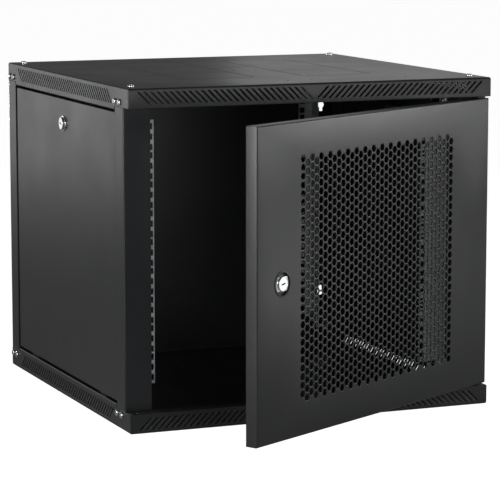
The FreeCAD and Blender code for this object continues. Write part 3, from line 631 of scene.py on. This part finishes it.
def panel_locks():
    """The side panels' locks: a polished disc on a thin collar."""
    for side, sign in (("left", -1), ("right", 1)):
        for part, make, rise, body, settings in (
                ("barrel", lock_barrel, 1.4 * MM, f"{side}_panel", {}),
                ("plug", lock_plug, 3.1 * MM, f"{side}_panel_lock", {"turn": -15})):
            node = f"{side}_panel_lock_{part}"
            low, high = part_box(node)
            middle, radius, deep = (low + high) / 2, (high.z - low.z) / 2, high.x - low.x
            piece = make(f"{node}_turned", radius, rise, deep - rise, **settings)
            seat = Vector((sign * max(abs(low.x), abs(high.x)) - sign * rise, middle.y, middle.z))
            placed(piece, facing(seat, (sign, 0, 0)))
            finish(piece, body, "chrome", node)


# ---- screws ----

HEAD_RADIUS = 5 * MM
HEAD_RISE = 3.2 * MM
HEAD_ROUND = 0.7 * HEAD_RISE
SHANK_RADIUS = 2 * MM
SCREW_TURN = 31  # degrees from one screw to the next, so that no two crosses line up


def pan_screw(length):
    """A pan-head screw with a cross recess, seated at the origin with its head up."""
    screw = rod("screw", HEAD_RADIUS, (0, 0, 0), (0, 0, HEAD_RISE), sides=32)
    softened(screw, at_height(screw, HEAD_RISE), HEAD_ROUND, segments=6)
    arm, half_arm, depth, taper = 2.7 * MM, 0.6 * MM, 1.9 * MM, 0.55
    floor, top = HEAD_RISE - depth, HEAD_RISE + REACH
    cross = block("cross", (-arm, -half_arm, floor), (arm, half_arm, top))
    weld(cross, block("cross_arm", (-half_arm, -arm, floor), (half_arm, arm, top)))
    edit(cross, "VERT", lambda vertex: vertex.co.z < floor + TINY)
    bpy.ops.transform.resize(value=(taper, taper, 1), center_override=(0, 0, 0))
    done()
    cut(screw, cross)
    weld(screw, rod("shank", SHANK_RADIUS, (0, 0, -length), (0, 0, BITE), sides=16))
    return smooth(screw, angle=35)


def outward(middle):
    """Away from the cabinet's middle, to the left or the right."""
    return Vector((math.copysign(1, middle.x), 0, 0))


def inward(middle):
    """Towards the cabinet's middle, from the left or the right."""
    return -outward(middle)


def upward_or_outward(middle):
    """Up for the screws in the top, and outward for those in the side flanges."""
    return Vector((0, 0, 1)) if middle.z > HEIGHT - COVER_BEND else outward(middle)


def forward(_middle):
    """Towards the front."""
    return Vector((0, -1, 0))


def screws():
    """Every screw that a set of the model holds, each turned a little differently, as one piece a set."""
    for node, slot, aim in (("upper_cover_screws", "chrome", upward_or_outward),
                            ("lower_cover_screws", "chrome", outward),
                            ("rail_screws", "zinc_plate", inward),
                            ("back_panel_screws", "zinc_plate", forward)):
        pieces, master = [], None
        for number, (low, high) in enumerate(solids(node)):
            middle, half = (low + high) / 2, (high - low) / 2
            direction = aim(middle)
            reach = abs(half.dot(direction))
            master = master or pan_screw(2 * reach - HEAD_RISE)
            seat = middle + direction * (reach - HEAD_RISE)
            pieces.append(copied(master, "screw", facing(seat, direction, SCREW_TURN * number)))
        bpy.data.objects.remove(master)
        finish(joined(node + "_turned", pieces), "cabinet", slot, node)


# ---- stage, light and camera ----

def stage():
    """A plain pale floor out to the horizon. It glows for the camera alone: white, with a soft shadow left."""
    wide, gap = 60, 0.5 * MM
    bpy.ops.object.select_all(action="DESELECT")
    bpy.ops.mesh.primitive_plane_add(size=wide, location=(0, 0, LOW.z - gap))
    floor = settle(bpy.context.object, "studio_floor")
    material, tree = new_material("studio_floor_paint")
    path = add(tree, "ShaderNodeLightPath")
    paint = add(tree, "ShaderNodeBsdfDiffuse", {"Color": linear("#d9d9d9")})
    glow = add(tree, "ShaderNodeEmission", {"Color": linear("#ffffff"), "Strength": 0.95})
    both = add(tree, "ShaderNodeAddShader", {0: paint.outputs[0], 1: glow.outputs[0]})
    seen = add(tree, "ShaderNodeMixShader", {0: path.outputs["Is Camera Ray"], 1: paint.outputs[0],
                                             2: both.outputs[0]})
    add(tree, "ShaderNodeOutputMaterial", {"Surface": seen.outputs[0]})
    floor.data.materials.append(material)


def world():
    """White behind the cabinet; a dim room for the light, a little lighter where a surface mirrors it."""
    studio = bpy.data.worlds.new("studio")
    bpy.context.scene.world = studio
    studio.use_nodes = True
    tree = studio.node_tree
    tree.nodes.clear()
    path = add(tree, "ShaderNodeLightPath")
    seen = add(tree, "ShaderNodeMath", {0: path.outputs["Is Camera Ray"], 1: path.outputs["Is Transmission Ray"]},
               operation="MAXIMUM")
    room, mirrored, white = (add(tree, "ShaderNodeBackground", {"Color": linear("#ffffff"), "Strength": strength})
                             for strength in (0.04, 0.14, 1.0))
    dim = add(tree, "ShaderNodeMixShader", {0: path.outputs["Is Glossy Ray"], 1: room.outputs[0],
                                            2: mirrored.outputs[0]})
    both = add(tree, "ShaderNodeMixShader", {0: seen.outputs[0], 1: dim.outputs[0], 2: white.outputs[0]})
    add(tree, "ShaderNodeOutputWorld", {"Surface": both.outputs[0]})


def lamp(name, place, target, size, watts, spread):
    """A soft panel lamp aimed at a point; a small spread keeps its light off the floor."""
    data = bpy.data.lights.new(name, "AREA")
    data.shape = "RECTANGLE"
    data.size, data.size_y = size
    data.energy = watts
    data.spread = math.radians(spread)
    made = bpy.data.objects.new(name, data)
    bpy.context.scene.collection.objects.link(made)
    made.visible_camera = False
    made.location = place
    made.rotation_euler = (Vector(target) - Vector(place)).to_track_quat("-Z", "Y").to_euler()


CAMERA_PLACE = (-1.5209, -3.7232, 0.8147)
CAMERA_DIP = 8.377  # degrees below level
CAMERA_TURN = -0.39183  # radians from straight ahead, towards +X
CAMERA_LENS = 178.3  # millimetres, on a sensor 36 mm wide


def camera():
    """The camera, in front of the cabinet's left side."""
    data = bpy.data.cameras.new("camera")
    data.sensor_width = 36
    data.lens = CAMERA_LENS
    data.clip_end = 100
    made = bpy.data.objects.new("camera", data)
    bpy.context.scene.collection.objects.link(made)
    made.location = CAMERA_PLACE
    made.rotation_euler = (math.radians(90 - CAMERA_DIP), 0, CAMERA_TURN)
    bpy.context.scene.camera = made


OPEN = 180
# Each lamp's name, place, the point it is aimed at, width and height, watts, and spread in degrees.
LAMPS = [
    ("front_panel", (-0.4, -3.6, 1.1), (0, -0.3, 0.3), (1.2, 1), 26, OPEN),
    ("front_low_panel", (1.2, -3.2, 0.35), (0.1, -0.3, 0.25), (1.6, 0.5), 8, OPEN),
    ("left_panel", (-1.9, -0.85, 0.55), (0.25, -0.3, 0.3), (0.6, 0.6), 20, OPEN),
    ("rear_left_panel", (-1.35, 2.4, 0.55), (-0.3, 0.1, 0.4), (1.2, 1), 4.6, OPEN),
    ("rear_right_panel", (1.3, 1.7, 1), (0.2, 0, 0.5), (1.2, 0.5), 1.1, OPEN),
    ("rear_low_panel", (0.3, 3.3, 0.3), (0, 0.3, 0.32), (1, 0.3), 1.6, 12),
    ("top_panel", (0, 0, 1.7), (0, 0, 0.5), (0.4, 0.4), 0.15, 12),
    ("right_panel", (2.4, -0.8, 0.55), (0, -0.45, 0.5), (1, 0.5), 7.5, OPEN),
    ("right_high_panel", (2, -0.75, 0.95), (0, -0.45, 0.5), (0.9, 0.6), 9, OPEN),
    ("door_lock_card", (0.83, -0.71, 0.11), (-0.165, -0.57, 0.26), (0.32, 0.24), 0.26, OPEN),
]

# ---- the whole ----

for part in frame["record"]["subparts"]:
    mesh = NODES[part["node"]].data
    mesh.materials.clear()
    mesh.materials.append(FINISHES[part["material_slot"]])

covers()
door()
door_lock()
panel_locks()
screws()
stage()
world()
camera()
for settings in LAMPS:
    lamp(*settings)
bpy.context.scene.view_settings.view_transform = "Standard"
